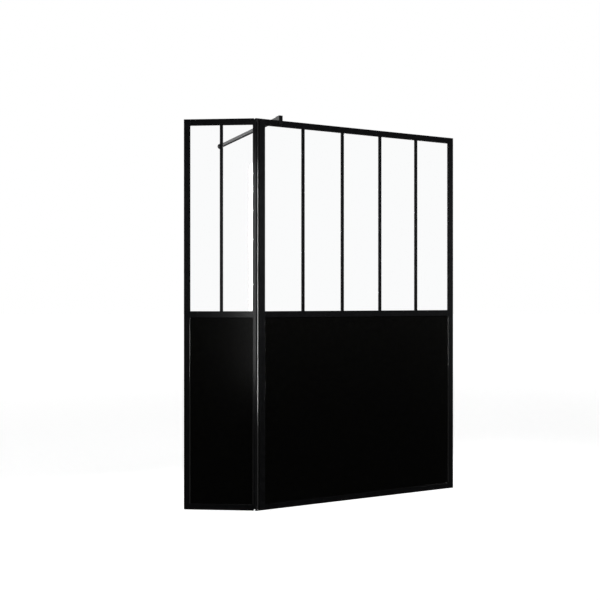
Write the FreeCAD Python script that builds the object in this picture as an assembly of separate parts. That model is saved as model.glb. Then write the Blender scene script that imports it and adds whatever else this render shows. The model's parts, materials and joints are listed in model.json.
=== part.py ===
import FreeCAD, Part
import math
import os

# A walk-in shower screen in black aluminium framing. A fixed front panel stands against
# a wall and is steadied by a bar across to a second wall. A narrow deflector panel
# turns on pivots at the front panel's free end.
#
# Row frame: origin on the wall face, in the middle of the frame's depth, at floor level.
# +X points into the wall, so the front panel runs along -X. -Y is the room side, +Y is
# the shower side, and +Z is up. Lengths are in millimetres.

# Overall sizes
screen_height = 2000.0
front_length = 1200.0
deflector_length = 383.0
deflector_turn = 30.0  # degrees, inward from in line with the front panel
deflector_lift = 8.0
mid_rail_height = 1000.0
front_lites = 5
deflector_lites = 2

# Frame extrusions
frame_face = 30.0
frame_depth = 18.0
frame_wall = 1.6
groove_depth = 12.0
corner_round = 1.0
lip_round = 0.4
cap_thickness = 2.4
plug_depth = 15.0
plug_gap = 0.3

# Glazing
glass_thickness = 6.0
panel_thickness = 6.0
glazing_bite = 10.0
gasket_lip = 1.0
gasket_base = 1.0
glazing_bar_face = 16.0
glazing_bar_thickness = 3.0
glazing_bar_round = 0.8

# Wall channel and the screws that hold the wall stile on it
channel_wall = 1.5
channel_leg = 14.0
wall_hole_radius = 2.75
wall_hole_count = 4
wall_hole_end = 100.0
stile_screw_radius = 1.75
stile_screw_head_radius = 3.5
stile_screw_head_height = 2.0
stile_screw_chamfer = 0.8
stile_screw_count = 3
stile_screw_end = 250.0
screw_clearance = 0.1

# Deflector's hinge stile and pivots
hinge_stile_face = 26.0
hinge_groove_depth = 8.0
hinge_gap = 5.0
seal_clearance = 0.3
seal_width = 10.0
pin_radius = 3.0
pin_clearance = 0.05
pin_engagement = 12.0
collar_radius = 5.0
bush_length = 14.0
bush_flange = 1.0
bush_rim = 1.0
bush_press_gap = 0.05
pivot_gap = 0.3
relief_gap = 3.0

# Floor seal under the deflector
sweep_floor_gap = 0.6
sweep_end_gap = 5.0
sweep_width = 14.0
sweep_carrier = 2.0
sweep_fin = 1.6

# Stabiliser bar, its clamp on the top rail and its flange on the second wall
stabiliser_from_end = 116.0
stabiliser_reach = 900.0  # from the front panel's room face to the second wall
tube_side = 18.0
tube_wall = 1.5
tube_round = 1.5
clamp_wall = 1.5
clamp_jaw = 4.0
clamp_saddle = 5.0
clamp_pad_thickness = 1.0
clamp_drop = 20.0
clamp_socket = 16.0
clamp_round = 0.8
clamp_screw_radius = 2.5
clamp_screw_head_radius = 4.25
clamp_screw_head = 5.0
hex_key = 4.0
hex_depth = 2.5
flange_radius = 16.0
flange_thickness = 12.0
flange_base = 3.0
flange_chamfer = 1.5
flange_hole_radius = 2.6
flange_sink_radius = 5.0
grub_radius = 2.0
grub_recess = 1.0

# Sizes that follow from the ones above
half_depth = frame_depth / 2
groove_width = glass_thickness + 2 * gasket_lip
mid_rail_top = mid_rail_height + frame_face / 2
mid_rail_foot = mid_rail_height - frame_face / 2
head_sight = screen_height - frame_face
pivot_offset = hinge_gap + half_depth
hinge_start = -half_depth
hinge_sight = hinge_start + hinge_stile_face
deflector_end = hinge_start + deflector_length
pivot_bore = min(half_depth, hinge_sight - hinge_groove_depth) - frame_wall
hinge_bite_loss = groove_depth - hinge_groove_depth
bush_radius = pivot_bore - bush_press_gap
stile_top = screen_height - cap_thickness
hinge_stile_top = stile_top - pivot_gap - bush_flange

X = FreeCAD.Vector(1, 0, 0)
Y = FreeCAD.Vector(0, 1, 0)
Z = FreeCAD.Vector(0, 0, 1)

# Each panel is drawn in its own frame: t along the panel, v towards the room, z up.
front_place = FreeCAD.Placement(FreeCAD.Vector(0, 0, 0), FreeCAD.Rotation(Z, 180))
deflector_place = FreeCAD.Placement(
    FreeCAD.Vector(-front_length - pivot_offset, 0, 0), FreeCAD.Rotation(Z, 180 - deflector_turn)
)


def wire(corners):
    """A closed wire through corners (u, v, radius), each rounded by a true arc."""
    arcs, ends = [], []
    for index, (u, v, radius) in enumerate(corners):
        corner = FreeCAD.Vector(u, v, 0)
        before = FreeCAD.Vector(*corners[index - 1][:2], 0)
        after = FreeCAD.Vector(*corners[(index + 1) % len(corners)][:2], 0)
        back, ahead = (before - corner).normalize(), (after - corner).normalize()
        if radius == 0:
            ends.append((corner, corner))
            continue
        half_angle = back.getAngle(ahead) / 2
        inward = (back + ahead).normalize()
        start = corner + back * (radius / math.tan(half_angle))
        finish = corner + ahead * (radius / math.tan(half_angle))
        middle = corner + inward * (radius / math.sin(half_angle) - radius)
        arcs.append(Part.Arc(start, middle, finish).toShape())
        ends.append((start, finish))
    lines = []
    for index, (start, _) in enumerate(ends):
        previous = ends[index - 1][1]
        if previous.distanceToPoint(start) > 1e-6:
            lines.append(Part.makeLine(previous, start))
    return Part.Wire(Part.__sortEdges__(lines + arcs))


def section(outer, *holes):
    """A flat face inside one wire, with other wires cut out of it."""
    return Part.makeFace([outer, *holes], "Part::FaceMakerBullseye")


def extrude(face, start, across, along, length):
    """Run a section along a line, with its u axis laid across."""
    solid = face.extrude(Z * length)
    solid.Placement = FreeCAD.Placement(
        start, FreeCAD.Rotation(across, along.cross(across), along, "XYZ")
    )
    return solid


def block(t_range, v_range, z_range):
    """A box between two values on each axis."""
    low = FreeCAD.Vector(t_range[0], v_range[0], z_range[0])
    sizes = [high - low_ for low_, high in (t_range, v_range, z_range)]
    return Part.makeBox(*sizes, low)


def evenly(count, first, last):
    """Evenly spaced places from first to last, both included."""
    return [first + step * (last - first) / (count - 1) for step in range(count)]


# Frame sections, with u from the outer edge towards the glass


def chamber(floor):
    """The hollow of a frame member, between its outer edge and its glazing groove."""
    side = half_depth - frame_wall
    return wire([
        (frame_wall, -side, lip_round),
        (floor - frame_wall, -side, lip_round),
        (floor - frame_wall, side, lip_round),
        (frame_wall, side, lip_round),
    ])


def groove(edge, floor):
    """Corners of a glazing groove, from one lip to the other."""
    side = groove_width / 2
    return [
        (edge, -half_depth, lip_round),
        (edge, -side, 0),
        (floor, -side, 0),
        (floor, side, 0),
        (edge, side, 0),
        (edge, half_depth, lip_round),
    ]


def member_section(face):
    """A stile or rail: a hollow box with one glazing groove."""
    floor = face - groove_depth
    outer = [(0, -half_depth, corner_round), *groove(face, floor), (0, half_depth, corner_round)]
    return section(wire(outer), chamber(floor))


def mid_rail_section():
    """The mid rail: a web with a glazing groove above and below."""
    lower = [(u, -v, radius) for u, v, radius in groove(0, groove_depth)]
    return section(wire([*groove(frame_face, frame_face - groove_depth), *lower]))


def wall_stile_section():
    """The wall stile: open towards the wall, so that it slides over the channel."""
    floor = frame_face - groove_depth
    side = half_depth - frame_wall
    return section(wire([
        (0, -half_depth, 0),
        *groove(frame_face, floor),
        (0, half_depth, 0),
        (0, side, 0),
        (floor - frame_wall, side, 0),
        (floor - frame_wall, -side, 0),
        (0, -side, 0),
    ]))


def hinge_stile_section():
    """The hinge stile: a round nose about the pivot, with the pivot's bore in it."""
    outer = [
        (hinge_start, -half_depth, half_depth),
        *groove(hinge_sight, hinge_sight - hinge_groove_depth),
        (hinge_start, half_depth, half_depth),
    ]
    return section(wire(outer), Part.Wire(Part.makeCircle(pivot_bore)))


# What both panels share


def sheet_and_gasket(t_sights, z_sights, thickness, bite_loss):
    """A sheet held in the grooves, and its channel gasket. The first groove may be shallower."""
    def between(grow, half):
        t_range = (t_sights[0] - max(grow - bite_loss, 0), t_sights[1] + grow)
        z_range = (z_sights[0] - grow, z_sights[1] + grow)
        return block(t_range, (-half, half), z_range)

    sheet = between(glazing_bite, thickness / 2)
    rim = between(glazing_bite + gasket_base, groove_width / 2)
    return sheet, rim.cut(between(0, groove_width / 2)).cut(sheet)


def glazing_bar(centre, outward):
    """A flat bar on one face of the glass, from the mid rail to the top rail."""
    half = glazing_bar_face / 2
    face = section(wire([
        (-half, 0, 0),
        (half, 0, 0),
        (half, glazing_bar_thickness, glazing_bar_round),
        (-half, glazing_bar_thickness, glazing_bar_round),
    ]))
    start = FreeCAD.Vector(centre, outward * glass_thickness / 2, mid_rail_top)
    return extrude(face, start, X * outward, Z, head_sight - mid_rail_top)


def rails(t_sights, foot, foot_sight):
    """The top, mid and bottom rails between two stiles."""
    start, length = t_sights[0], t_sights[1] - t_sights[0]
    full = member_section(frame_face)
    top = extrude(full, FreeCAD.Vector(start, 0, screen_height), -Z, X, length)
    mid = extrude(mid_rail_section(), FreeCAD.Vector(start, 0, mid_rail_foot), Z, X, length)
    bottom_face = member_section(foot_sight - foot)
    bottom = extrude(bottom_face, FreeCAD.Vector(start, 0, foot), Z, X, length)
    return top, mid, bottom


def panel_pieces(name, t_sights, foot, lites, bite_loss):
    """Every piece of a panel except its stiles, by node name."""
    top, mid, bottom = rails(t_sights, foot, frame_face)
    upper = sheet_and_gasket(t_sights, (mid_rail_top, head_sight), glass_thickness, bite_loss)
    lower = sheet_and_gasket(t_sights, (frame_face, mid_rail_foot), panel_thickness, bite_loss)
    pieces = {
        f"{name}_top_rail": top,
        f"{name}_mid_rail": mid,
        f"{name}_bottom_rail": bottom,
        f"{name}_glass": upper[0],
        f"{name}_glass_gasket": upper[1],
        f"{name}_lower_panel": lower[0],
        f"{name}_panel_gasket": lower[1],
    }
    centres = evenly(lites + 1, t_sights[0] - frame_face / 2, t_sights[1] + frame_face / 2)
    for number, centre in enumerate(centres[1:-1], start=1):
        pieces[f"{name}_bar_{number}_outer"] = glazing_bar(centre, 1)
        pieces[f"{name}_bar_{number}_inner"] = glazing_bar(centre, -1)
    return pieces


def plug(t_range, v_half, level, down):
    """The tongue of an end cap, a plug gap clear of the hollow that it fits."""
    z_range = (level - plug_depth, level) if down else (level, level + plug_depth)
    side = v_half - plug_gap
    return block((t_range[0] + plug_gap, t_range[1] - plug_gap), (-side, side), z_range)


# Wall side


def wall_channel():
    """The channel that is screwed to the wall, inside the wall stile."""
    side = half_depth - frame_wall
    inner = side - channel_wall
    face = section(wire([
        (0, -side, 0),
        (channel_leg, -side, 0),
        (channel_leg, -inner, 0),
        (channel_wall, -inner, 0),
        (channel_wall, inner, 0),
        (channel_leg, inner, 0),
        (channel_leg, side, 0),
        (0, side, 0),
    ]))
    channel = extrude(face, FreeCAD.Vector(0, 0, 0), X, Z, stile_top)
    for height in evenly(wall_hole_count, wall_hole_end, screen_height - wall_hole_end):
        start = FreeCAD.Vector(0, 0, height)
        channel = channel.cut(Part.makeCylinder(wall_hole_radius, channel_wall, start, X))
    return channel


def stile_screw_places():
    """Where the stile screws pass, on the shower side of the wall stile."""
    middle = (channel_wall + channel_leg) / 2
    heights = evenly(stile_screw_count, stile_screw_end, screen_height - stile_screw_end)
    return [FreeCAD.Vector(middle, -half_depth, height) for height in heights]


def stile_screw_holes():
    """Clearance holes for the stile screws through the stile and the channel."""
    depth = frame_wall + channel_wall
    radius = stile_screw_radius + screw_clearance
    return [Part.makeCylinder(radius, depth, place, Y) for place in stile_screw_places()]


def stile_screws():
    """Cheese-headed screws from the stile into the channel."""
    screws = []
    for place in stile_screw_places():
        shank = Part.makeCylinder(stile_screw_radius, frame_wall + channel_wall, place, Y)
        head = Part.makeCylinder(stile_screw_head_radius, stile_screw_head_height, place, -Y)
        crown = [edge for edge in head.Edges if edge.BoundBox.YMax < place.y - stile_screw_chamfer]
        head = head.makeChamfer(stile_screw_chamfer, crown)
        screws.append(head.fuse(shank).removeSplitter())
    return Part.makeCompound(screws)


def wall_stile():
    """The stile over the channel, with the screws' holes."""
    stile = extrude(wall_stile_section(), FreeCAD.Vector(0, 0, 0), X, Z, stile_top)
    return stile.cut(stile_screw_holes())


def wall_stile_cap():
    """The cap on top of the wall stile, plugged into the channel."""
    plate = block((0, frame_face), (-half_depth, half_depth), (stile_top, screen_height))
    inner = half_depth - frame_wall - channel_wall
    return plate.fuse(plug((channel_wall, channel_leg), inner, stile_top, True)).removeSplitter()


# Free end of the front panel and the pivots


def post():
    """The stile at the free end, between the two pivot plates."""
    start = FreeCAD.Vector(front_length, 0, cap_thickness)
    return extrude(member_section(frame_face), start, -X, Z, stile_top - cap_thickness)


def post_seal():
    """A soft strip on the end of the post, facing the deflector's nose."""
    thickness = hinge_gap - seal_clearance
    t_range = (front_length, front_length + thickness)
    return block(t_range, (-seal_width / 2, seal_width / 2), (cap_thickness, stile_top))


def pivot_plate(level):
    """The plate over the post's end, rounded about the pivot."""
    axis = front_length + pivot_offset
    face = section(wire([
        (front_length - frame_face, -half_depth, 0),
        (axis + half_depth, -half_depth, half_depth),
        (axis + half_depth, half_depth, half_depth),
        (front_length - frame_face, half_depth, 0),
    ]))
    return extrude(face, FreeCAD.Vector(0, 0, level), X, Z, cap_thickness)


def post_plug_range():
    """Where a plug fits in the post's hollow, along the panel."""
    hollow = frame_face - groove_depth - frame_wall
    return (front_length - hollow, front_length - frame_wall)


def top_pivot():
    """The upper plate with its pin pointing down."""
    axis = FreeCAD.Vector(front_length + pivot_offset, 0, stile_top)
    pin = Part.makeCylinder(pin_radius, pivot_gap + bush_flange + pin_engagement, axis, -Z)
    tongue = plug(post_plug_range(), half_depth - frame_wall, stile_top, True)
    return pivot_plate(stile_top).fuse([pin, tongue]).removeSplitter()


def bottom_pivot():
    """The lower plate with a collar that carries the deflector and a pin pointing up."""
    axis = FreeCAD.Vector(front_length + pivot_offset, 0, cap_thickness)
    collar_top = deflector_lift - bush_flange - pivot_gap
    collar = Part.makeCylinder(collar_radius, collar_top - cap_thickness, axis, Z)
    pin = Part.makeCylinder(pin_radius, deflector_lift + pin_engagement - cap_thickness, axis, Z)
    tongue = plug(post_plug_range(), half_depth - frame_wall, cap_thickness, False)
    return pivot_plate(0).fuse([collar, pin, tongue]).removeSplitter()


# Stabiliser bar, seen from the side: v across the panel, z up


def profile_along_panel(face, width):
    """Run a (v, z) section along the panel, centred on the stabiliser bar."""
    start = FreeCAD.Vector(front_length - stabiliser_from_end - width / 2, 0, 0)
    return extrude(face, start, Y, X, width)


saddle_foot = screen_height + clamp_pad_thickness
tube_foot = saddle_foot + clamp_saddle
tube_middle = tube_foot + tube_side / 2
clamp_top = tube_foot + tube_side + clamp_wall
jaw_inner = half_depth + clamp_pad_thickness
jaw_outer = jaw_inner + clamp_jaw
jaw_foot = screen_height - clamp_drop
second_wall = half_depth - stabiliser_reach
tube_end = second_wall + flange_base
stabiliser_t = front_length - stabiliser_from_end


def clamp_screw_place():
    """Where the clamp's screw leaves the jaw on the shower side."""
    return FreeCAD.Vector(stabiliser_t, -jaw_outer, (jaw_foot + screen_height) / 2)


def clamp_body():
    """A saddle over the top rail, with a square socket for the bar."""
    outline = wire([
        (jaw_outer, jaw_foot, clamp_round),
        (jaw_outer, clamp_top, clamp_round),
        (-jaw_outer - clamp_socket, clamp_top, clamp_round),
        (-jaw_outer - clamp_socket, saddle_foot, clamp_round),
        (-jaw_outer, saddle_foot, 0),
        (-jaw_outer, jaw_foot, clamp_round),
        (-jaw_inner, jaw_foot, 0),
        (-jaw_inner, saddle_foot, 0),
        (jaw_inner, saddle_foot, 0),
        (jaw_inner, jaw_foot, 0),
    ])
    width = tube_side + 2 * clamp_wall
    body = profile_along_panel(section(outline), width)
    socket = block(
        (stabiliser_t - tube_side / 2, stabiliser_t + tube_side / 2),
        (-jaw_outer - clamp_socket, jaw_inner),
        (tube_foot, tube_foot + tube_side),
    )
    radius = clamp_screw_radius + screw_clearance
    return body.cut([socket, Part.makeCylinder(radius, clamp_jaw, clamp_screw_place(), Y)])


def clamp_pad():
    """The rubber liner between the clamp and the top rail."""
    outline = wire([
        (jaw_inner, jaw_foot, 0),
        (jaw_inner, saddle_foot, 0),
        (-jaw_inner, saddle_foot, 0),
        (-jaw_inner, jaw_foot, 0),
        (-half_depth, jaw_foot, 0),
        (-half_depth, screen_height, 0),
        (half_depth, screen_height, 0),
        (half_depth, jaw_foot, 0),
    ])
    return profile_along_panel(section(outline), tube_side + 2 * clamp_wall)


def clamp_screw():
    """The screw through the jaw on the shower side, with a hexagon socket."""
    place = clamp_screw_place()
    shank = Part.makeCylinder(clamp_screw_radius, clamp_jaw, place, Y)
    head = Part.makeCylinder(clamp_screw_head_radius, clamp_screw_head, place, -Y)
    radius = hex_key / math.sqrt(3)
    turns = [math.radians(60 * side) for side in range(6)]
    hexagon = section(wire([(radius * math.cos(a), radius * math.sin(a), 0) for a in turns]))
    recess = extrude(hexagon, place - Y * clamp_screw_head, X, Y, hex_depth)
    return head.fuse(shank).cut(recess).removeSplitter()


def stabiliser_bar():
    """A square tube from the clamp's front plate to the wall flange."""
    half, inner = tube_side / 2, tube_side / 2 - tube_wall
    inner_round = max(tube_round - tube_wall, lip_round)

    def square(side, radius):
        signs = ((-1, -1), (1, -1), (1, 1), (-1, 1))
        return wire([(side * across, side * up, radius) for across, up in signs])

    face = section(square(half, tube_round), square(inner, inner_round))
    start = FreeCAD.Vector(stabiliser_t, tube_end, tube_middle)
    return extrude(face, start, X, Y, jaw_inner - tube_end)


def grub_place():
    """The foot of the grub screw in the wall flange."""
    middle = (tube_end + second_wall + flange_thickness) / 2
    return FreeCAD.Vector(stabiliser_t, middle, tube_middle - flange_radius + grub_recess)


def wall_flange():
    """A round flange with a square pocket for the bar and a sunk hole for a wall screw."""
    centre = FreeCAD.Vector(stabiliser_t, second_wall, tube_middle)
    disc = Part.makeCylinder(flange_radius, flange_thickness, centre, Y)
    rim = [edge for edge in disc.Edges if edge.BoundBox.YMin > centre.y + flange_base]
    disc = disc.makeChamfer(flange_chamfer, rim)
    half = tube_side / 2
    pocket = block(
        (stabiliser_t - half, stabiliser_t + half),
        (tube_end, second_wall + flange_thickness),
        (tube_middle - half, tube_middle + half),
    )
    hole = Part.makeCylinder(flange_hole_radius, flange_base, centre, Y)
    sink_depth = flange_sink_radius - flange_hole_radius
    sink_start = centre + Y * (flange_base - sink_depth)
    sink = Part.makeCone(flange_hole_radius, flange_sink_radius, sink_depth, sink_start, Y)
    grub_depth = flange_radius - half
    grub_start = FreeCAD.Vector(stabiliser_t, grub_place().y, tube_middle - flange_radius)
    grub_hole = Part.makeCylinder(grub_radius + screw_clearance, grub_depth, grub_start, Z)
    return disc.cut([pocket, hole, sink, grub_hole])


def flange_grub_screw():
    """The grub screw that locks the bar in the flange, from below."""
    length = flange_radius - grub_recess - tube_side / 2
    return Part.makeCylinder(grub_radius, length, grub_place(), Z)


# Deflector panel, with its pivot axis at t = 0, v = 0


def hinge_stile():
    """The stile that turns on the pivots."""
    start = FreeCAD.Vector(0, 0, deflector_lift)
    return extrude(hinge_stile_section(), start, X, Z, hinge_stile_top - deflector_lift)


def hinge_stile_cap():
    """A filler on the hinge stile, clear of the top pivot plate, with a tongue in the groove."""
    t_range = (half_depth + relief_gap, hinge_sight)
    plate = block(t_range, (-half_depth, half_depth), (hinge_stile_top, screen_height))
    side = groove_width / 2 - plug_gap
    tongue_foot = head_sight + glazing_bite + gasket_base + plug_gap
    tongue = block(t_range, (-side, side), (tongue_foot, hinge_stile_top))
    return plate.fuse(tongue).removeSplitter()


def free_stile():
    """The stile at the deflector's free edge, between its two caps."""
    start = FreeCAD.Vector(deflector_end, 0, deflector_lift + cap_thickness)
    length = stile_top - deflector_lift - cap_thickness
    return extrude(member_section(frame_face), start, -X, Z, length)


def free_stile_caps():
    """Caps on the top and bottom of the free stile."""
    hollow = frame_face - groove_depth - frame_wall
    t_plug = (deflector_end - hollow, deflector_end - frame_wall)
    t_range = (deflector_end - frame_face, deflector_end)
    foot = deflector_lift + cap_thickness
    v_range = (-half_depth, half_depth)
    side = half_depth - frame_wall
    top = block(t_range, v_range, (stile_top, screen_height)).fuse(plug(t_plug, side, stile_top, True))
    bottom = block(t_range, v_range, (deflector_lift, foot)).fuse(plug(t_plug, side, foot, False))
    return Part.makeCompound([top.removeSplitter(), bottom.removeSplitter()])


def pivot_bush(level, into):
    """A flanged bush in the nose, with its flange on the end of the stile."""
    seat = FreeCAD.Vector(0, 0, level)
    body = Part.makeCylinder(bush_radius, bush_length, seat, into)
    flange = Part.makeCylinder(half_depth - bush_rim, bush_flange, seat, -into)
    bore = Part.makeCylinder(
        pin_radius + pin_clearance, bush_length + bush_flange, seat - into * bush_flange, into
    )
    return body.fuse(flange).cut(bore).removeSplitter()


def floor_sweep():
    """Two flexible fins under the deflector, on a flat carrier."""
    carrier_foot = deflector_lift - sweep_carrier
    half = sweep_width / 2
    inner = half - sweep_fin
    face = section(wire([
        (deflector_lift, half, 0),
        (sweep_floor_gap, half, 0),
        (sweep_floor_gap, inner, 0),
        (carrier_foot, inner, 0),
        (carrier_foot, -inner, 0),
        (sweep_floor_gap, -inner, 0),
        (sweep_floor_gap, -half, 0),
        (deflector_lift, -half, 0),
    ]))
    t_start = half_depth + sweep_end_gap
    return extrude(face, FreeCAD.Vector(t_start, 0, 0), Z, X, deflector_end - t_start)


front = {
    "wall_channel": wall_channel().cut(stile_screw_holes()),
    "wall_stile": wall_stile(),
    "wall_stile_cap": wall_stile_cap(),
    "stile_screws": stile_screws(),
    "post": post(),
    "post_seal": post_seal(),
    "top_pivot": top_pivot(),
    "bottom_pivot": bottom_pivot(),
    "clamp_body": clamp_body(),
    "clamp_pad": clamp_pad(),
    "clamp_screw": clamp_screw(),
    "stabiliser_bar": stabiliser_bar(),
    "wall_flange": wall_flange(),
    "flange_grub_screw": flange_grub_screw(),
    **panel_pieces("front", (frame_face, front_length - frame_face), 0, front_lites, 0),
}

deflector = {
    "hinge_stile": hinge_stile(),
    "hinge_stile_cap": hinge_stile_cap(),
    "free_stile": free_stile(),
    "free_stile_caps": free_stile_caps(),
    "top_bush": pivot_bush(hinge_stile_top, -Z),
    "bottom_bush": pivot_bush(deflector_lift, Z),
    "floor_sweep": floor_sweep(),
    **panel_pieces(
        "deflector",
        (hinge_sight, deflector_end - frame_face),
        deflector_lift,
        deflector_lites,
        hinge_bite_loss,
    ),
}

os.makedirs("parts", exist_ok=True)
for pieces, place in ((front, front_place), (deflector, deflector_place)):
    for node, shape in pieces.items():
        shape.Placement = place.multiply(shape.Placement)
        shape.exportStep(f"parts/{node}.step")
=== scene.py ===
import json
import math

import bpy
from bpy.props import FloatProperty, FloatVectorProperty, PointerProperty
from mathutils import Euler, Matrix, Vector

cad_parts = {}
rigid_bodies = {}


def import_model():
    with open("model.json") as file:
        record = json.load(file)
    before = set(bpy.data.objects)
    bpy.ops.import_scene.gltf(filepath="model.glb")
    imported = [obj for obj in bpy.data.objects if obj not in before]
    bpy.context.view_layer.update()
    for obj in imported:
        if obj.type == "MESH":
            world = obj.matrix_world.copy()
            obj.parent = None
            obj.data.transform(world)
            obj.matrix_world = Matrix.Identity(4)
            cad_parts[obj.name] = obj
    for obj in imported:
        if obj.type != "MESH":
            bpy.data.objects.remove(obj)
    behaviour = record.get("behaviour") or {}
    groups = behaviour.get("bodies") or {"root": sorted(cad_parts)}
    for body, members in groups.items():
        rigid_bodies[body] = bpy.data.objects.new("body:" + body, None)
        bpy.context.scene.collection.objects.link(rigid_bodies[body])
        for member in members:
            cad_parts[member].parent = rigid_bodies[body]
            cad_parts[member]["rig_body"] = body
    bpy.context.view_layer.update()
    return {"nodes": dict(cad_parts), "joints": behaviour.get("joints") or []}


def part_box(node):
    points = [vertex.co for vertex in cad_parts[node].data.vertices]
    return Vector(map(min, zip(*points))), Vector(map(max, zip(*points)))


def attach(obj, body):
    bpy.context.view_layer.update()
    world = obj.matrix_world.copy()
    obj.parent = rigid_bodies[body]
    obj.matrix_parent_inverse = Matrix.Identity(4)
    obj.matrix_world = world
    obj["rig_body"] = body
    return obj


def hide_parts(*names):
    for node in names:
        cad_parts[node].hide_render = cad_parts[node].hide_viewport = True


bl_info = {
    "name": "Walk-in shower screen",
    "version": (1, 0, 0),
    "blender": (4, 5, 0),
    "location": "View3D > Sidebar > Shower screen",
    "description": "Finishes, seals and fittings for a black-framed walk-in shower screen",
    "category": "Object",
}

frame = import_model()
nodes = frame["nodes"]

# Which pieces take which finish
front_members = ["wall_stile", "post", "front_top_rail", "front_mid_rail", "front_bottom_rail"]
deflector_members = [
    "hinge_stile", "free_stile", "deflector_top_rail", "deflector_mid_rail",
    "deflector_bottom_rail",
]
glazing_bars = [name for name in nodes if name.endswith(("_inner", "_outer"))]
gaskets = [name for name in nodes if name.endswith("_gasket")]

# Each panel is modelled along X and set in place by its own start and turn.
pivot = Vector(frame["joints"][0]["pos_m"])
panel_start = {"front": Vector((0, 0, 0)), "deflector": pivot}
panel_turn = {"front": math.radians(180), "deflector": math.radians(150)}
panel_body = {"front": "front_screen", "deflector": "deflector"}

# The openings between the frame members, along each panel and up it
opening_across = {"front": (0.030, 1.170), "deflector": (0.017, 0.344)}
opening_up = {"glass": (1.015, 1.970), "panel": (0.030, 0.985)}

# Half the thickness of a sheet and of a frame member
sheet_half = 0.003
member_half = 0.009

# Points closer than this are one point.
weld = 0.000002

# Faces that meet at less than this angle are one face.
flat_enough = math.radians(0.3)

# A face looks along an axis when this much of its normal does.
square_on = 0.9

# Turns a rod that stands on Z so that it points to the shower side
towards_shower = (-math.pi / 2, 0, 0)


# Settings that a user would change


class FinishSettings(bpy.types.PropertyGroup):
    """Colours and gloss of the screen."""

    frame_colour: FloatVectorProperty(
        name="Frame colour",
        description="Powder coat on the frame, glazing bars and fittings",
        subtype="COLOR", size=3, min=0, max=1, default=(0.0056, 0.0057, 0.0062),
    )
    frame_roughness: FloatProperty(
        name="Frame roughness",
        description="How far the powder coat spreads a highlight",
        subtype="FACTOR", min=0, max=1, default=0.18,
    )
    panel_colour: FloatVectorProperty(
        name="Lower panel colour",
        description="Lacquer on the solid lower panels",
        subtype="COLOR", size=3, min=0, max=1, default=(0.0030, 0.0030, 0.0028),
    )
    panel_roughness: FloatProperty(
        name="Lower panel roughness",
        description="How far the lacquer spreads a highlight",
        subtype="FACTOR", min=0, max=1, default=0.2,
    )
    glass_tint: FloatVectorProperty(
        name="Glass tint",
        description="Colour of the clear glass",
        subtype="COLOR", size=3, min=0, max=1, default=(0.956, 0.961, 0.964),
    )


class DetailSettings(bpy.types.PropertyGroup):
    """Small sizes of the beads, the groove and the eased edges."""

    seam_ease: FloatProperty(
        name="Seam easing",
        description="How far the sawn ends of the frame members and bars are eased",
        subtype="DISTANCE", unit="LENGTH", min=0.00005, max=0.0006, default=0.00025,
    )
    fitting_ease: FloatProperty(
        name="Fitting easing",
        description="How far the edges of the clamp, the pivots and the caps are rounded",
        subtype="DISTANCE", unit="LENGTH", min=0.00005, max=0.001, default=0.0005,
    )
    bead_width: FloatProperty(
        name="Bead width",
        description="How much of the glazing bead shows inside a frame member",
        subtype="DISTANCE", unit="LENGTH", min=0.0005, max=0.004, default=0.0020,
    )
    bead_height: FloatProperty(
        name="Bead height",
        description="How far the glazing bead stands on the sheet",
        subtype="DISTANCE", unit="LENGTH", min=0.0005, max=0.005, default=0.0022,
    )
    nose_groove: FloatProperty(
        name="Nose groove",
        description="Depth of the groove beside the nose, on each face of the hinge stile",
        subtype="DISTANCE", unit="LENGTH", min=0.0005, max=0.0024, default=0.0022,
    )


class StageSettings(bpy.types.PropertyGroup):
    """Camera and light."""

    camera_place: FloatVectorProperty(
        name="Camera place",
        description="Where the camera stands, fitted to the photograph's edges",
        subtype="TRANSLATION", unit="LENGTH", size=3, default=(-2.857, -3.927, 1.0742),
    )
    camera_turn: FloatProperty(
        name="Camera turn",
        description="Direction of the level view, clockwise from straight ahead",
        subtype="ANGLE", unit="ROTATION", default=math.radians(25.69),
    )
    camera_lens: FloatProperty(
        name="Lens",
        description="Focal length on a 36 mm sensor",
        subtype="DISTANCE_CAMERA", unit="CAMERA", default=50.0,
    )
    room_light: FloatProperty(
        name="Room light",
        description="Strength of the even light from all round",
        min=0, default=0.04,
    )
    key_power: FloatProperty(
        name="Key lamp",
        description="Power of the soft lamp at the viewer's left",
        subtype="POWER", unit="POWER", min=0, default=288.0,
    )
    fill_power: FloatProperty(
        name="Top lamp",
        description="Power of the soft lamp overhead",
        subtype="POWER", unit="POWER", min=0, default=20.0,
    )
    side_power: FloatProperty(
        name="Side lamp",
        description="Power of the soft lamp at the viewer's right",
        subtype="POWER", unit="POWER", min=0, default=460.0,
    )
    front_power: FloatProperty(
        name="Front lamp",
        description="Power of the long soft lamp on the room side, above half height",
        subtype="POWER", unit="POWER", min=0, default=15.0,
    )
    shower_power: FloatProperty(
        name="Shower lamp",
        description="Power of the long soft lamp on the shower side, above half height",
        subtype="POWER", unit="POWER", min=0, default=20.0,
    )


# Node group helpers


def new_group(name, inputs, outputs):
    """An empty shader node group with named inputs (name, kind, default) and outputs."""
    group = bpy.data.node_groups.new(name, "ShaderNodeTree")
    for label, kind, default in inputs:
        socket = group.interface.new_socket(label, in_out="INPUT", socket_type=kind)
        socket.default_value = default
    for label, kind in outputs:
        group.interface.new_socket(label, in_out="OUTPUT", socket_type=kind)
    entry = group.nodes.new("NodeGroupInput")
    result = group.nodes.new("NodeGroupOutput")
    return group, entry.outputs, result.inputs


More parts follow.
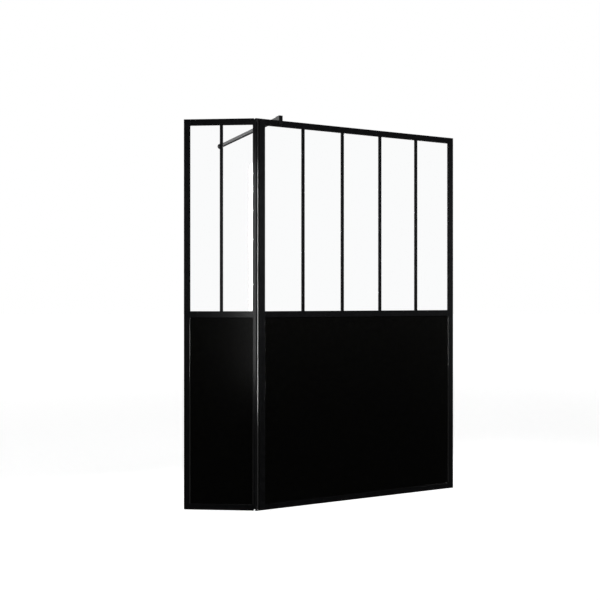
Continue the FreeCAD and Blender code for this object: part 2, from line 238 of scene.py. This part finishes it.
def coat_grain_group():
    """Grain of a sprayed coat: fine orange peel, and slow changes of roughness and tone."""
    group, given, out = new_group(
        "Sprayed coat",
        [
            ("Vector", "NodeSocketVector", (0, 0, 0)),
            ("Peel scale", "NodeSocketFloat", 900.0),
            ("Roughness", "NodeSocketFloat", 0.4),
            ("Roughness change", "NodeSocketFloat", 0.06),
        ],
        [
            ("Height", "NodeSocketFloat"),
            ("Roughness", "NodeSocketFloat"),
            ("Tone", "NodeSocketFloat"),
        ],
    )
    link = group.links.new
    peel = group.nodes.new("ShaderNodeTexNoise")
    peel.inputs["Detail"].default_value = 2.0
    link(given["Vector"], peel.inputs["Vector"])
    link(given["Peel scale"], peel.inputs["Scale"])
    link(peel.outputs["Fac"], out["Height"])
    drift = group.nodes.new("ShaderNodeTexNoise")
    drift.inputs["Scale"].default_value = 7.0
    drift.inputs["Detail"].default_value = 4.0
    link(given["Vector"], drift.inputs["Vector"])
    centred = group.nodes.new("ShaderNodeMath")
    centred.operation = "SUBTRACT"
    centred.inputs[1].default_value = 0.5
    link(drift.outputs["Fac"], centred.inputs[0])
    spread = group.nodes.new("ShaderNodeMath")
    spread.operation = "MULTIPLY_ADD"
    link(centred.outputs[0], spread.inputs[0])
    link(given["Roughness change"], spread.inputs[1])
    link(given["Roughness"], spread.inputs[2])
    link(spread.outputs[0], out["Roughness"])
    mottle = group.nodes.new("ShaderNodeTexNoise")
    mottle.inputs["Scale"].default_value = 38.0
    mottle.inputs["Detail"].default_value = 5.0
    link(given["Vector"], mottle.inputs["Vector"])
    stretch = group.nodes.new("ShaderNodeMapRange")
    stretch.inputs["From Min"].default_value = 0.3
    stretch.inputs["From Max"].default_value = 0.7
    link(mottle.outputs["Fac"], stretch.inputs["Value"])
    link(stretch.outputs["Result"], out["Tone"])


def new_material(name):
    """A material with a Principled BSDF, and object coordinates for its patterns."""
    material = bpy.data.materials.new(name)
    material.use_nodes = True
    tree = material.node_tree
    surface = tree.nodes["Principled BSDF"]
    place = tree.nodes.new("ShaderNodeTexCoord")
    return material, tree, surface, place.outputs["Object"]


def sprayed_material(
    name, colour, roughness, change, specular, peel, depth, rise=(0.2, 0.62), shine=0.5
):
    """A sprayed coat with orange peel and a clear sheen that rises at a grazing view.

    The peel has a scale and a depth. The sheen grows from none to its full shine between
    the two values of rise, on a scale from 0 for a face seen square on to 1 edge on.
    """
    material, tree, surface, place = new_material(name)
    surface.inputs["Specular IOR Level"].default_value = specular
    grain = tree.nodes.new("ShaderNodeGroup")
    grain.node_tree = bpy.data.node_groups["Sprayed coat"]
    grain.inputs["Peel scale"].default_value = peel
    grain.inputs["Roughness"].default_value = roughness
    grain.inputs["Roughness change"].default_value = change
    tree.links.new(place, grain.inputs["Vector"])
    tree.links.new(grain.outputs["Roughness"], surface.inputs["Roughness"])
    tone = tree.nodes.new("ShaderNodeMix")
    tone.data_type = "RGBA"
    tree.links.new(grain.outputs["Tone"], tone.inputs["Factor"])
    for end, share in (("A", 0.8), ("B", 1.2)):
        tone.inputs[end].default_value = (*(share * part for part in colour), 1)
    tree.links.new(tone.outputs["Result"], surface.inputs["Base Color"])
    bump = tree.nodes.new("ShaderNodeBump")
    bump.inputs["Strength"].default_value = 0.5
    bump.inputs["Distance"].default_value = depth
    tree.links.new(grain.outputs["Height"], bump.inputs["Height"])
    tree.links.new(bump.outputs["Normal"], surface.inputs["Normal"])
    grazing = tree.nodes.new("ShaderNodeLayerWeight")
    grazing.inputs["Blend"].default_value = 0.5
    sheen = tree.nodes.new("ShaderNodeMapRange")
    sheen.inputs["From Min"].default_value, sheen.inputs["From Max"].default_value = rise
    sheen.inputs["To Max"].default_value = shine
    tree.links.new(grazing.outputs["Facing"], sheen.inputs["Value"])
    tree.links.new(sheen.outputs["Result"], surface.inputs["Coat Weight"])
    surface.inputs["Coat Roughness"].default_value = 0.15
    return material


def keep_upright(material, lean):
    """Fade the sheen out on faces that aren't upright, to none at a lean from 0 to 1."""
    tree = material.node_tree
    surface = tree.nodes["Principled BSDF"]
    sheen = surface.inputs["Coat Weight"].links[0].from_socket
    shape = tree.nodes.new("ShaderNodeNewGeometry")
    parts = tree.nodes.new("ShaderNodeSeparateXYZ")
    tree.links.new(shape.outputs["Normal"], parts.inputs["Vector"])
    tilt = tree.nodes.new("ShaderNodeMath")
    tilt.operation = "ABSOLUTE"
    tree.links.new(parts.outputs["Z"], tilt.inputs[0])
    upright = tree.nodes.new("ShaderNodeMapRange")
    upright.inputs["From Max"].default_value = lean
    upright.inputs["To Min"].default_value = 1.0
    upright.inputs["To Max"].default_value = 0.0
    tree.links.new(tilt.outputs[0], upright.inputs["Value"])
    both = tree.nodes.new("ShaderNodeMath")
    both.operation = "MULTIPLY"
    tree.links.new(sheen, both.inputs[0])
    tree.links.new(upright.outputs["Result"], both.inputs[1])
    tree.links.new(both.outputs[0], surface.inputs["Coat Weight"])


def white_where_seen(tree):
    """A value that is 1 where the camera, a reflection or glass looks, and 0 for light."""
    path = tree.nodes.new("ShaderNodeLightPath")
    seen = path.outputs["Is Camera Ray"]
    for ray in ("Is Glossy Ray", "Is Transmission Ray"):
        either = tree.nodes.new("ShaderNodeMath")
        either.operation = "MAXIMUM"
        tree.links.new(seen, either.inputs[0])
        tree.links.new(path.outputs[ray], either.inputs[1])
        seen = either.outputs[0]
    return seen


def glass_material(tint):
    """Clear glass that lets lamp light through to the floor."""
    _, tree, surface, _ = new_material("Clear glass")
    surface.inputs["Base Color"].default_value = (*tint, 1)
    surface.inputs["Roughness"].default_value = 0.0
    surface.inputs["Transmission Weight"].default_value = 1.0
    surface.inputs["IOR"].default_value = 1.3
    light_path = tree.nodes.new("ShaderNodeLightPath")
    through = tree.nodes.new("ShaderNodeBsdfTransparent")
    through.inputs["Color"].default_value = (*tint, 1)
    mix = tree.nodes.new("ShaderNodeMixShader")
    tree.links.new(light_path.outputs["Is Shadow Ray"], mix.inputs["Fac"])
    tree.links.new(surface.outputs["BSDF"], mix.inputs[1])
    tree.links.new(through.outputs["BSDF"], mix.inputs[2])
    tree.links.new(mix.outputs["Shader"], tree.nodes["Material Output"].inputs["Surface"])


# Modelling helpers


def only(piece):
    """Make a piece the active one and the only one selected."""
    bpy.ops.object.select_all(action="DESELECT")
    piece.select_set(True)
    bpy.context.view_layer.objects.active = piece


def started(name, add, **size):
    """Add a primitive as the only selected object, and set its place in its mesh."""
    bpy.ops.object.select_all(action="DESELECT")
    add(**size)
    piece = bpy.context.object
    piece.name = name
    bpy.ops.object.transform_apply(location=True, rotation=True, scale=True)
    return piece


def block(name, low, high):
    """A box between two corners, ready to be shaped."""
    low, high = Vector(low), Vector(high)
    return started(
        name, bpy.ops.mesh.primitive_cube_add,
        size=1, location=(low + high) / 2, scale=high - low,
    )


def disc(name, sides, radius, start, length, turn):
    """A rod of some sides from a place, along Z until it is turned."""
    middle = Vector(start) + Euler(turn).to_matrix() @ Vector((0, 0, length / 2))
    return started(
        name, bpy.ops.mesh.primitive_cylinder_add,
        vertices=sides, radius=radius, depth=length, location=middle, rotation=turn,
    )


def pick_faces(piece, test):
    """Enter edit mode with the faces selected whose middle and normal pass a test."""
    only(piece)
    bpy.ops.object.mode_set(mode="EDIT")
    bpy.ops.mesh.select_mode(type="FACE")
    bpy.ops.mesh.select_all(action="DESELECT")
    bpy.ops.object.mode_set(mode="OBJECT")
    for face in piece.data.polygons:
        face.select = test(face.center, face.normal)
    bpy.ops.object.mode_set(mode="EDIT")


def pick_edges(piece, test):
    """Enter edit mode with the edges selected whose two ends pass a test."""
    only(piece)
    bpy.ops.object.mode_set(mode="EDIT")
    bpy.ops.mesh.select_mode(type="EDGE")
    bpy.ops.mesh.select_all(action="DESELECT")
    bpy.ops.object.mode_set(mode="OBJECT")
    points = piece.data.vertices
    for edge in piece.data.edges:
        edge.select = test(*(points[index].co for index in edge.vertices))
    bpy.ops.object.mode_set(mode="EDIT")


def leave():
    """Go back to object mode."""
    bpy.ops.object.mode_set(mode="OBJECT")


def push(x=0.0, y=0.0, z=0.0):
    """Extrude the selected faces by a distance."""
    bpy.ops.mesh.extrude_region_move(TRANSFORM_OT_translate={"value": (x, y, z)})


def apply(piece, kind, **settings):
    """Add a modifier and apply it."""
    only(piece)
    modifier = piece.modifiers.new(kind.title(), kind)
    for key, value in settings.items():
        setattr(modifier, key, value)
    bpy.ops.object.modifier_apply(modifier=modifier.name)


def smooth(piece, angle=38.0):
    """Shade the round faces smoothly and leave the flat ones flat."""
    only(piece)
    bpy.ops.object.shade_smooth_by_angle(angle=math.radians(angle))
    apply(piece, "WEIGHTED_NORMAL", keep_sharp=True, weight=100)


def ease(piece, width, segments=2, angle=40.0):
    """Round every sharp edge a little."""
    apply(
        piece, "BEVEL", width=width, segments=segments, limit_method="ANGLE",
        angle_limit=math.radians(angle), use_clamp_overlap=True, miter_outer="MITER_ARC",
    )


def carve(piece, cutter):
    """Cut a shape out of a piece and remove the cutter."""
    apply(piece, "BOOLEAN", operation="DIFFERENCE", solver="EXACT", object=cutter)
    only(cutter)
    bpy.ops.object.delete()


def joined(name, pieces):
    """Make one piece of several."""
    only(pieces[0])
    for piece in pieces[1:]:
        piece.select_set(True)
    bpy.ops.object.join()
    pieces[0].name = name
    return pieces[0]


def set_in_panel(piece, panel):
    """Move a piece that was modelled along X to its panel's place."""
    only(piece)
    piece.location = panel_start[panel]
    piece.rotation_euler = (0, 0, panel_turn[panel])
    bpy.ops.object.transform_apply(location=True, rotation=True, scale=True)


def settle(piece, body, finish, stands_for=()):
    """Finish a new piece, attach it to what it rides on and hide the nodes it stands for."""
    piece.data.materials.clear()
    piece.data.materials.append(bpy.data.materials[finish])
    for face in piece.data.polygons:
        face.material_index = 0
    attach(piece, body)
    if stands_for:
        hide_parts(*stands_for)


def eased_copy(name, width, finish, cutters=()):
    """A copy of a CAD piece, cut and with its sharp edges eased, which stands for it."""
    piece = bpy.data.objects.new(name + "_eased", nodes[name].data.copy())
    bpy.context.scene.collection.objects.link(piece)
    only(piece)
    bpy.ops.mesh.customdata_custom_splitnormals_clear()
    bpy.ops.object.mode_set(mode="EDIT")
    bpy.ops.mesh.select_all(action="SELECT")
    bpy.ops.mesh.remove_doubles(threshold=weld)
    bpy.ops.mesh.dissolve_limited(angle_limit=flat_enough)
    leave()
    for cutter in cutters:
        carve(piece, cutter)
    ease(piece, width)
    smooth(piece)
    settle(piece, nodes[name]["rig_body"], finish, (name,))


def dress(names, finish):
    """Give CAD pieces a finish through their material slots."""
    for name in names:
        piece = nodes[name]
        if not piece.material_slots:
            piece.data.materials.append(bpy.data.materials[finish])
        for place in piece.material_slots:
            place.material = bpy.data.materials[finish]


# Operators


class SHOWER_OT_mix_finishes(bpy.types.Operator):
    """Mix the coats, the lacquer, the glass and the rubber"""

    bl_idname = "shower.mix_finishes"
    bl_label = "Mix finishes"

    # The post's coat is painted lighter than the rest of the frame, as painted light on its faces.
    post_painted_light = 1.4

    # The rise of a sheen that is full at any view
    all_round = (-1.0, -0.5)

    def execute(self, context):
        finish = context.scene.shower_finish
        black, satin = finish.frame_colour, finish.frame_roughness
        powder = {"change": 0.04, "specular": 0.008, "peel": 900, "depth": 0.00004}
        coat_grain_group()
        sprayed_material("Satin black coat", black, satin, **powder)
        sprayed_material("Nose coat", black, satin, **powder, rise=(0.14, 0.3))
        # Painted light: a lighter copy of the frame colour for the post
        black_painted_lighter = [self.post_painted_light * part for part in black]
        sprayed_material("Post coat", black_painted_lighter, satin, **powder)
        tube = sprayed_material(
            "Tube coat", black, satin, change=0.04, specular=0.0, peel=900, depth=0.00004,
            rise=(0.3, 0.55), shine=1.0,
        )
        keep_upright(tube, lean=0.5)
        sprayed_material(
            "Black lacquer", finish.panel_colour, finish.panel_roughness,
            change=0.03, specular=0.0016, peel=260, depth=0.00002,
        )
        bead = sprayed_material(
            "Bead coat", black, 0.2, change=0.04, specular=0.008, peel=600, depth=0.00001,
            rise=self.all_round,
        )
        bead.node_tree.nodes["Principled BSDF"].inputs["Coat Roughness"].default_value = 0.08
        keep_upright(bead, lean=0.01)
        zinc = sprayed_material(
            "Coated zinc", black, 0.4, change=0.06, specular=0.02, peel=700, depth=0.00008,
            rise=(0.3, 0.6), shine=0.9,
        )
        keep_upright(zinc, lean=0.5)
        sprayed_material(
            "Moulded cap", black, 0.55, change=0.05, specular=0.025, peel=1500, depth=0.00004
        )
        sprayed_material(
            "Nylon", (0.01, 0.01, 0.01), 0.5, change=0.05, specular=0.05, peel=1200, depth=0.00003
        )
        sprayed_material(
            "Rubber", (0.005, 0.005, 0.005), 0.75, change=0.1, specular=0.02, peel=600,
            depth=0.00006, rise=(0.9, 1.0), shine=0.2,
        )
        sprayed_material(
            "Black screw", (0.008, 0.008, 0.0085), 0.3, change=0.08, specular=0.1, peel=900,
            depth=0.00003,
        )
        glass_material(finish.glass_tint)
        return {"FINISHED"}


class SHOWER_OT_build_frames(bpy.types.Operator):
    """Ease the sawn ends of the frame members and coat them"""

    bl_idname = "shower.build_frames"
    bl_label = "Build frames"

    def execute(self, context):
        detail = context.scene.shower_detail
        # The post takes the coat that is painted lighter, as painted light.
        coats = {"hinge_stile": "Nose coat", "post": "Post coat"}
        for name in [*front_members, *deflector_members]:
            cutters = self.nose_cutters(detail.nose_groove) if name == "hinge_stile" else ()
            eased_copy(name, detail.seam_ease, coats.get(name, "Satin black coat"), cutters)
        return {"FINISHED"}

    def nose_cutters(self, depth):
        """Two wedges, one for each face of the hinge stile, which reach past its top."""
        middle, floor_half = -0.001, 0.0004
        proud, height = 0.001, 2.1
        top_half = floor_half + depth + proud
        cutters = []
        for side in (1, -1):
            near, far = sorted((side * (member_half - depth), side * (member_half + proud)))
            low, high = (middle - top_half, near, 0), (middle + top_half, far, height)
            cutter = block("wedge", low, high)
            pick_faces(cutter, lambda centre, normal: side * normal.y < -square_on)
            bpy.ops.transform.resize(
                value=(floor_half / top_half, 1, 1), center_override=(middle, 0, 0)
            )
            leave()
            set_in_panel(cutter, "deflector")
            cutters.append(cutter)
        return cutters


class SHOWER_OT_glaze(bpy.types.Operator):
    """Finish the sheets and lay the gaskets' beads around them"""

    bl_idname = "shower.glaze"
    bl_label = "Glaze"

    # The glass sits in soft lips, the panels behind sprayed beads.
    bead_finish = {"glass": ("rubber", "Rubber"), "panel": ("black_frame", "Bead coat")}

    def execute(self, context):
        detail = context.scene.shower_detail
        dress(["front_glass", "deflector_glass"], "Clear glass")
        dress(["front_lower_panel", "deflector_lower_panel"], "Black lacquer")
        dress(gaskets, "Rubber")
        for panel, across in opening_across.items():
            for sheet, up in opening_up.items():
                sides = [self.bead(across, up, side, detail) for side in (1, -1)]
                piece = joined(f"{panel}_{sheet}_bead", sides)
                set_in_panel(piece, panel)
                smooth(piece)
                slot, finish = self.bead_finish[sheet]
                settle(piece, panel_body[panel], finish)
        return {"FINISHED"}

    def bead(self, across, up, side, detail):
        """A mitred ring on one face of a sheet, with its lip rounded."""
        (t_low, t_high), (z_low, z_high) = across, up
        middle = ((t_low + t_high) / 2, side * sheet_half, (z_low + z_high) / 2)
        width, height = detail.bead_width, detail.bead_height
        piece = started(
            "bead", bpy.ops.mesh.primitive_plane_add,
            size=1, location=middle, rotation=(math.pi / 2, 0, 0),
        )
        only(piece)
        bpy.ops.object.mode_set(mode="EDIT")
        bpy.ops.mesh.select_all(action="SELECT")
        bpy.ops.transform.resize(
            value=(t_high - t_low, 1, z_high - z_low), center_override=middle
        )
        bpy.ops.mesh.inset(thickness=width)
        bpy.ops.mesh.delete(type="FACE")
        bpy.ops.mesh.select_all(action="SELECT")
        push(y=side * height)
        bpy.ops.mesh.select_all(action="SELECT")
        bpy.ops.mesh.normals_make_consistent(inside=False)
        leave()
        top = side * (sheet_half + height)

        def at_lip(point):
            inside = t_low + width / 2 < point.x < t_high - width / 2
            return inside and abs(point.y - top) < weld

        pick_edges(piece, lambda a, b: at_lip(a) and at_lip(b))
        # Just short of the whole width, so that the rounding leaves no loose faces
        bpy.ops.mesh.bevel(offset=0.98 * min(width, height), segments=6, affect="EDGES")
        leave()
        pick_edges(piece, self.on_mitre)
        bpy.ops.mesh.mark_sharp()
        leave()
        return piece

    def on_mitre(self, start, end):
        """Whether an edge runs diagonally, as a mitre does."""
        along, up = abs(start.x - end.x), abs(start.z - end.z)
        return along > weld and abs(along - up) < weld


class SHOWER_OT_lay_glazing_bars(bpy.types.Operator):
    """Ease the ends of the glazing bars and coat them"""

    bl_idname = "shower.lay_glazing_bars"
    bl_label = "Lay glazing bars"

    def execute(self, context):
        width = context.scene.shower_detail.seam_ease
        for name in glazing_bars:
            eased_copy(name, width, "Satin black coat")
        return {"FINISHED"}


class SHOWER_OT_fix_to_wall(bpy.types.Operator):
    """Finish the wall channel, its cap and the stile's screws"""

    bl_idname = "shower.fix_to_wall"
    bl_label = "Fix to wall"

    # Where the screws stand in the stile's shower face
    screw_inset = 0.00775
    screw_heights = (0.25, 1.0, 1.75)

    def execute(self, context):
        ease_by = context.scene.shower_detail.fitting_ease
        dress(["wall_channel"], "Satin black coat")
        eased_copy("wall_stile_cap", ease_by, "Moulded cap")
        lowest, *others = self.screw_heights
        first = self.screw(Vector((-self.screw_inset, member_half, lowest)))
        copies = [first]
        for height in others:
            copy = bpy.data.objects.new("stile_screw", first.data.copy())
            context.scene.collection.objects.link(copy)
            copy.location.z = height - lowest
            only(copy)
            bpy.ops.object.transform_apply(location=True, rotation=True, scale=True)
            copies.append(copy)
        piece = joined("stile_screws_crossed", copies)
        smooth(piece)
        settle(piece, "front_screen", "Black screw", ("stile_screws",))
        return {"FINISHED"}

    def screw(self, place):
        """A pan-headed screw with a cross recess, its shank in the stile."""
        head_radius, head_height, crown = 0.0035, 0.002, 0.0011
        shoulder, shank_length = 0.00175, 0.0031
        wing_reach, wing_half, taper = 0.0018, 0.0003, 0.55
        recess_floor, recess_top = 0.0007, 0.003
        piece = disc("stile_screw", 40, head_radius, place, head_height, towards_shower)
        top = place.y + head_height
        pick_edges(piece, lambda a, b: abs(a.y - top) < weld and abs(b.y - top) < weld)
        bpy.ops.mesh.bevel(offset=crown, segments=4, affect="EDGES")
        leave()
        pick_faces(piece, lambda middle, normal: normal.y < -square_on)
        bpy.ops.mesh.inset(thickness=shoulder)
        push(y=-shank_length)
        leave()
        for across, up in ((wing_reach, wing_half), (wing_half, wing_reach)):
            low = place + Vector((-across, recess_floor, -up))
            high = place + Vector((across, recess_top, up))
            wing = block("wing", low, high)
            pick_faces(wing, lambda middle, normal: normal.y < -square_on)
            bpy.ops.transform.resize(value=(taper, 1, taper), center_override=place)
            leave()
            carve(piece, wing)
        return piece


class SHOWER_OT_hang_deflector(bpy.types.Operator):
    """Finish the pivots, bushes, caps and seals at the deflector"""

    bl_idname = "shower.hang_deflector"
    bl_label = "Hang deflector"

    # Each step down a lip: how far it drops, spreads outwards and thins
    lip_steps = ((0.0014, 0.0001, 0.85), (0.0014, 0.0003, 0.7), (0.0012, 0.0005, 0.55))

    def execute(self, context):
        ease_by = context.scene.shower_detail.fitting_ease
        for name in ("top_pivot", "bottom_pivot"):
            eased_copy(name, ease_by, "Coated zinc")
        for name in ("top_bush", "bottom_bush"):
            eased_copy(name, ease_by / 4, "Nylon")
        for name in ("hinge_stile_cap", "free_stile_caps"):
            eased_copy(name, ease_by, "Moulded cap")
        self.post_bulb()
        self.floor_lips()
        return {"FINISHED"}

    def post_bulb(self):
        """A soft bulb on a flat foot, from end to end of the post."""
        low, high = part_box("post_seal")
        foot, step, rounding = 0.0012, 0.0011, 0.0032
        half_way = (high.z - low.z) / 2
        piece = block("post_seal_bulb", (high.x - foot, low.y, low.z), high)
        pick_faces(piece, lambda middle, normal: normal.x < -square_on)
        bpy.ops.mesh.inset(thickness=step)
        push(x=low.x - high.x + foot)
        leave()

        def at_tip(point):
            return abs(point.x - low.x) < weld

        pick_edges(piece, lambda a, b: at_tip(a) and at_tip(b) and abs(a.z - b.z) > half_way)
        bpy.ops.mesh.bevel(offset=rounding, segments=7, affect="EDGES")
        leave()
        smooth(piece)
        settle(piece, "front_screen", "Rubber", ("post_seal",))

    def floor_lips(self):
        """A flat carrier with two lips that thin out and spread towards the floor."""
        start, end, half = 0.014, 0.374, 0.007
        carrier_foot, carrier_top = 0.006, 0.008
        lip_inner, lip_foot, lip_top = 0.0054, 0.0046, 0.0062
        carrier = block("carrier", (start, -half, carrier_foot), (end, half, carrier_top))
        lips = []
        for side in (1, -1):
            near, far = sorted((side * lip_inner, side * half))
            lip = block("lip", (start, near, lip_foot), (end, far, lip_top))
            pick_faces(lip, lambda middle, normal: normal.z < -square_on)
            for drop, spread, thin in self.lip_steps:
                push(y=side * spread, z=-drop)
                bpy.ops.transform.resize(value=(1, thin, 1))
            leave()
            lips.append(lip)
        piece = joined("floor_sweep_lips", [carrier, *lips])
        set_in_panel(piece, "deflector")
        smooth(piece, angle=50)
        settle(piece, "deflector", "Rubber", ("floor_sweep",))


class SHOWER_OT_fit_stabiliser(bpy.types.Operator):
    """Finish the stabiliser bar, its clamp and its wall flange"""

    bl_idname = "shower.fit_stabiliser"
    bl_label = "Fit stabiliser"

    def execute(self, context):
        detail = context.scene.shower_detail
        eased_copy("stabiliser_bar", detail.seam_ease, "Tube coat")
        eased_copy("clamp_body", detail.fitting_ease, "Coated zinc")
        eased_copy("clamp_pad", detail.seam_ease, "Rubber")
        eased_copy("wall_flange", detail.seam_ease, "Coated zinc")
        self.clamp_screw()
        self.grub_screw()
        return {"FINISHED"}

    def clamp_screw(self):
        """A socket-headed screw with a hexagon recess."""
        low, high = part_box("clamp_screw")
        centre = (low + high) / 2
        shank_length, head_radius, edge, shoulder = 0.004, 0.00425, 0.0005, 0.00175
        key_depth, key_radius, key_length = 0.0025, 0.00231, 0.004
        mouth_radius, mouth_depth, flare = 0.0023, 0.0002, 1.18
        foot, head = low.y + shank_length, high.y
        start = Vector((centre.x, foot, centre.z))
        piece = disc("clamp_screw_socket", 56, head_radius, start, head - foot, towards_shower)
        pick_edges(piece, lambda a, b: abs(a.y - head) < weld and abs(b.y - head) < weld)
        bpy.ops.mesh.bevel(offset=edge, segments=3, affect="EDGES")
        leave()
        pick_faces(piece, lambda middle, normal: normal.y < -square_on)
        bpy.ops.mesh.inset(thickness=shoulder)
        push(y=low.y - foot)
        leave()
        floor = Vector((centre.x, head - key_depth, centre.z))
        carve(piece, disc("key", 6, key_radius, floor, key_length, towards_shower))
        rim = Vector((centre.x, head - mouth_depth, centre.z))
        taper = disc("taper", 32, mouth_radius, rim, 2 * mouth_depth, towards_shower)
        pick_faces(taper, lambda middle, normal: normal.y > square_on)
        bpy.ops.transform.resize(value=(flare, 1, flare), center_override=rim)
        leave()
        carve(piece, taper)
        smooth(piece)
        settle(piece, "front_screen", "Black screw", ("clamp_screw",))

    def grub_screw(self):
        """A headless screw with a hexagon recess in its foot."""
        low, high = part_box("flange_grub_screw")
        centre = (low + high) / 2
        radius, edge, key_radius, key_below, key_length = 0.002, 0.0003, 0.00115, 0.001, 0.003
        start = Vector((centre.x, centre.y, low.z))
        piece = disc("flange_grub_socket", 32, radius, start, high.z - low.z, (0, 0, 0))
        pick_edges(piece, lambda a, b: abs(a.z - low.z) < weld and abs(b.z - low.z) < weld)
        bpy.ops.mesh.bevel(offset=edge, segments=2, affect="EDGES")
        leave()
        foot = start - Vector((0, 0, key_below))
        carve(piece, disc("key", 6, key_radius, foot, key_length, (0, 0, 0)))
        smooth(piece)
        settle(piece, "front_screen", "Black screw", ("flange_grub_screw",))


class SHOWER_OT_stage(bpy.types.Operator):
    """Set the camera, the lamps, the white room and the floor"""

    bl_idname = "shower.stage"
    bl_label = "Stage"

    # Each lamp's name, power setting, place, target, width and height, and what it lights
    lamps = (
        ("Key lamp", "key_power", (-2.94, -2.46, 1.32), (-1.22, 0.0, 1.32), (0.36, 1.87), "gloss"),
        ("Side lamp", "side_power", (1.69, -1.35, 1.17), (-1.2, 0.0, 1.17), (0.5, 2.15), "gloss"),
        ("Front lamp", "front_power", (-0.9, -0.7, 1.42), (-0.9, 0.0, 1.42), (3.0, 0.15), "body"),
        ("Shower lamp", "shower_power", (-0.9, 1.3, 1.3), (-0.9, 0.0, 1.3), (3.0, 0.3), "body"),
        ("Top lamp", "fill_power", (-0.8, -1.9, 3.4), (-0.8, 0.0, 1.5), (1.6, 1.6), "body"),
    )

    def execute(self, context):
        scene = context.scene
        stage = scene.shower_stage
        scene.view_settings.view_transform = "Standard"
        camera = bpy.data.objects.new("Photo camera", bpy.data.cameras.new("Photo camera"))
        scene.collection.objects.link(camera)
        camera.data.lens = stage.camera_lens
        camera.data.sensor_width = 36.0
        camera.location = stage.camera_place
        camera.rotation_euler = (math.pi / 2, 0, -stage.camera_turn)
        scene.camera = camera
        self.light_room(scene, stage)
        for name, setting, place, target, size, lights in self.lamps:
            self.hang_lamp(name, place, target, size, getattr(stage, setting), lights)
        self.lay_floor()
        return {"FINISHED"}

    def light_room(self, scene, stage):
        """Faint even light from all round, and white where the room is seen."""
        world = bpy.data.worlds.new("White room")
        scene.world = world
        world.use_nodes = True
        tree = world.node_tree
        background = tree.nodes["Background"]
        background.inputs["Color"].default_value = (1, 1, 1, 1)
        level = tree.nodes.new("ShaderNodeMapRange")
        level.inputs["To Min"].default_value = stage.room_light
        level.inputs["To Max"].default_value = 1.0
        tree.links.new(white_where_seen(tree), level.inputs["Value"])
        tree.links.new(level.outputs["Result"], background.inputs["Strength"])

    def hang_lamp(self, name, place, target, size, power, lights):
        """A soft box that points at a place and lights either the gloss or the body."""
        bpy.ops.object.light_add(type="AREA", location=place)
        lamp = bpy.context.object
        lamp.name = name
        lamp.data.shape = "RECTANGLE"
        lamp.data.size, lamp.data.size_y = size
        lamp.data.energy = power
        lamp.visible_camera = False
        lamp.visible_transmission = False
        lamp.visible_glossy = lights == "gloss"
        lamp.visible_diffuse = lights == "body"
        aim = Vector(target) - Vector(place)
        lamp.rotation_euler = aim.to_track_quat("-Z", "Y").to_euler()

    def lay_floor(self):
        """A wide pale floor that shows white to the camera and keeps the soft shadow."""
        below_part = 0.0005
        bpy.ops.mesh.primitive_circle_add(vertices=96, radius=60, fill_type="NGON")
        floor = bpy.context.object
        floor.name = "floor"
        floor.location.z = -below_part
        material, tree, surface, place = new_material("Pale floor")
        surface.inputs["Base Color"].default_value = (0.75, 0.75, 0.75, 1)
        surface.inputs["Roughness"].default_value = 0.9
        surface.inputs["Specular IOR Level"].default_value = 0.1
        surface.inputs["Emission Color"].default_value = (1, 1, 1, 1)
        reach = tree.nodes.new("ShaderNodeVectorMath")
        reach.operation = "LENGTH"
        tree.links.new(place, reach.inputs[0])
        fade = tree.nodes.new("ShaderNodeMapRange")
        fade.inputs["From Min"].default_value = 2.0
        fade.inputs["From Max"].default_value = 9.0
        fade.inputs["To Min"].default_value = 0.84
        fade.inputs["To Max"].default_value = 1.0
        tree.links.new(reach.outputs["Value"], fade.inputs["Value"])
        level = tree.nodes.new("ShaderNodeMath")
        level.operation = "MULTIPLY"
        tree.links.new(white_where_seen(tree), level.inputs[0])
        tree.links.new(fade.outputs["Result"], level.inputs[1])
        tree.links.new(level.outputs[0], surface.inputs["Emission Strength"])
        floor.data.materials.append(material)


class SHOWER_PT_panel(bpy.types.Panel):
    """Lists the steps that dress the shower screen."""

    bl_idname = "SHOWER_PT_panel"
    bl_label = "Shower screen"
    bl_space_type = "VIEW_3D"
    bl_region_type = "UI"
    bl_category = "Shower screen"

    def draw(self, context):
        scene = context.scene
        for settings in (scene.shower_finish, scene.shower_detail, scene.shower_stage):
            for name in type(settings).__annotations__:
                self.layout.prop(settings, name)
        for operator in operators:
            self.layout.operator(operator.bl_idname)


operators = (
    SHOWER_OT_mix_finishes,
    SHOWER_OT_build_frames,
    SHOWER_OT_glaze,
    SHOWER_OT_lay_glazing_bars,
    SHOWER_OT_fix_to_wall,
    SHOWER_OT_hang_deflector,
    SHOWER_OT_fit_stabiliser,
    SHOWER_OT_stage,
)
classes = (FinishSettings, DetailSettings, StageSettings, *operators, SHOWER_PT_panel)


def register():
    """Register the classes and their settings."""
    for item in classes:
        bpy.utils.register_class(item)
    bpy.types.Scene.shower_finish = PointerProperty(type=FinishSettings)
    bpy.types.Scene.shower_detail = PointerProperty(type=DetailSettings)
    bpy.types.Scene.shower_stage = PointerProperty(type=StageSettings)


def unregister():
    """Remove the settings and the classes."""
    del bpy.types.Scene.shower_stage
    del bpy.types.Scene.shower_detail
    del bpy.types.Scene.shower_finish
    for item in reversed(classes):
        bpy.utils.unregister_class(item)


def main():
    """Dress the screen step by step."""
    register()
    bpy.ops.object.select_all(action="DESELECT")
    bpy.ops.shower.mix_finishes()
    bpy.ops.shower.build_frames()
    bpy.ops.shower.glaze()
    bpy.ops.shower.lay_glazing_bars()
    bpy.ops.shower.fix_to_wall()
    bpy.ops.shower.hang_deflector()
    bpy.ops.shower.fit_stabiliser()
    bpy.ops.shower.stage()


if __name__ == "__main__":
    main()
